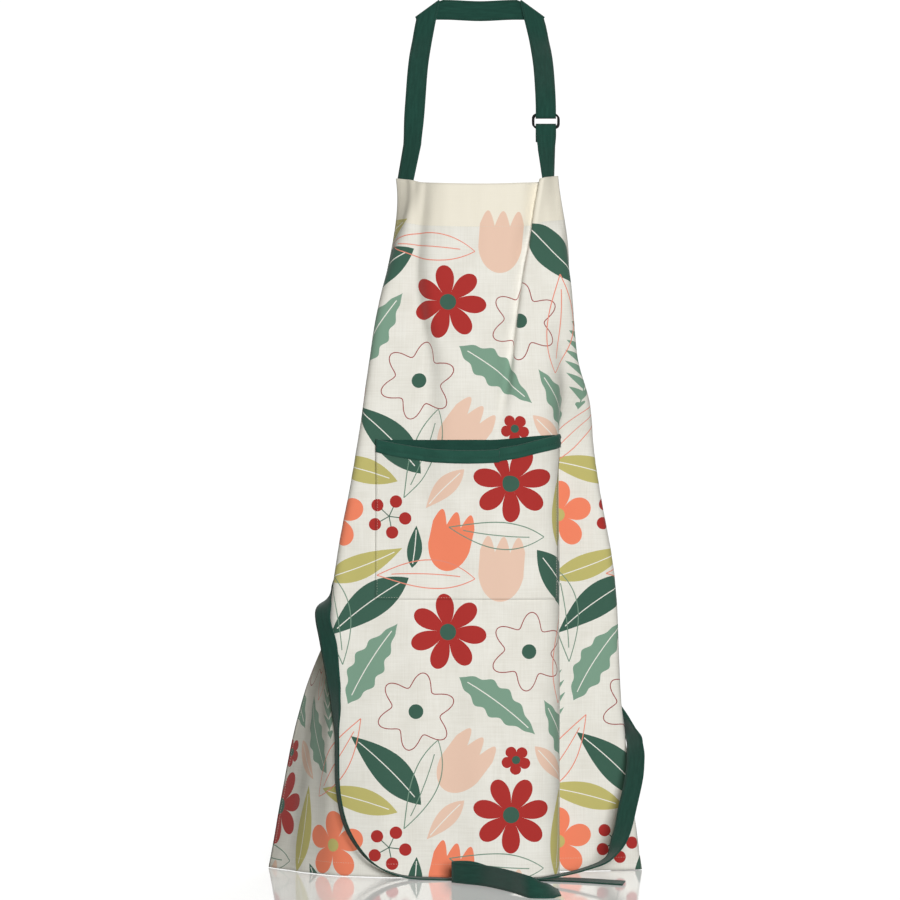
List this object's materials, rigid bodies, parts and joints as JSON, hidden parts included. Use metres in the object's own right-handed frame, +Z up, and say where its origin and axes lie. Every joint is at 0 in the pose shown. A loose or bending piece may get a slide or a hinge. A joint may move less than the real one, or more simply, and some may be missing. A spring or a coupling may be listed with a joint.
{
  "type": "kitchen apron",
  "caption": "Bib apron in printed cotton with green neck strap, ring adjuster, patch pocket and waist ties, in its worn shape.",
  "frame": {"origin": "middle of the lower edge of the neck strap's bar, where the apron hangs on the nape", "axes": "+Z up along the apron's length, -Y to the front, +X to the right as seen from the front"},
  "size_m": [0.4646, 0.434, 1.0876],
  "materials": {
    "printed_cloth": "matte woven cotton with a floral print",
    "green_tape": "matte woven cotton tape",
    "green_binding": "matte woven cotton tape",
    "ring_metal": "dark satin coated wire"
  },
  "bodies": {
    "root": {"panel": "printed_cloth", "pocket": "printed_cloth", "pocket_binding": "green_binding", "pocket_back_band": "green_binding", "neck_strap": "green_tape", "strap_tab": "green_tape", "ring_front": "ring_metal", "ring_back": "ring_metal", "left_tie": "green_tape", "right_tie": "green_tape"}
  },
  "joints": []
}
